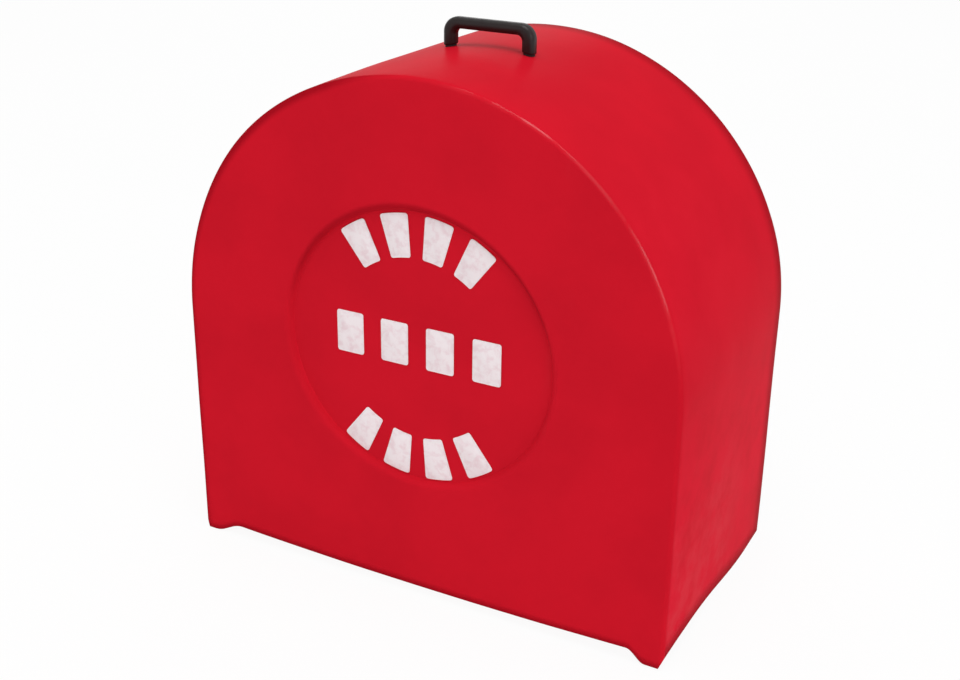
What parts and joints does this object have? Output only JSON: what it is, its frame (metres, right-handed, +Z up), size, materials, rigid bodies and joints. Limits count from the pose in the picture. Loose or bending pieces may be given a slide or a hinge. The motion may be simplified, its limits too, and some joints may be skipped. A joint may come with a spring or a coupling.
{
  "type": "fire hose reel cover",
  "caption": "Arched one-piece moulded cover, open at the back and underneath, with a sunk round front panel and a screwed-on bridge handle on top.",
  "frame": {"origin": "middle of the footprint, level with the undersides of the feet", "axes": "+Z up, -Y out of the front face with the sunk round panel, +Y out of the open back, +X to the right of a viewer who faces the front"},
  "size_m": [0.65, 0.35, 0.6735],
  "materials": {
    "red_plastic": "satin moulded",
    "black_plastic": "satin",
    "rubber": "matte",
    "brass": "turned",
    "nylon": "matte",
    "zinc": "zinc plated",
    "white_film": "satin film"
  },
  "bodies": {
    "root": {"cover_shell": "red_plastic", "carry_handle": "black_plastic", "handle_seal_left": "rubber", "handle_insert_left": "brass", "saddle_washer_left": "nylon", "penny_washer_left": "zinc", "spring_washer_left": "zinc", "handle_screw_left": "zinc", "handle_seal_right": "rubber", "handle_insert_right": "brass", "saddle_washer_right": "nylon", "penny_washer_right": "zinc", "spring_washer_right": "zinc", "handle_screw_right": "zinc", "mark_upper_1": "white_film", "mark_upper_2": "white_film", "mark_upper_3": "white_film", "mark_upper_4": "white_film", "mark_centre_1": "white_film", "mark_centre_2": "white_film", "mark_centre_3": "white_film", "mark_centre_4": "white_film", "mark_lower_1": "white_film", "mark_lower_2": "white_film", "mark_lower_3": "white_film", "mark_lower_4": "white_film"}
  },
  "joints": []
}
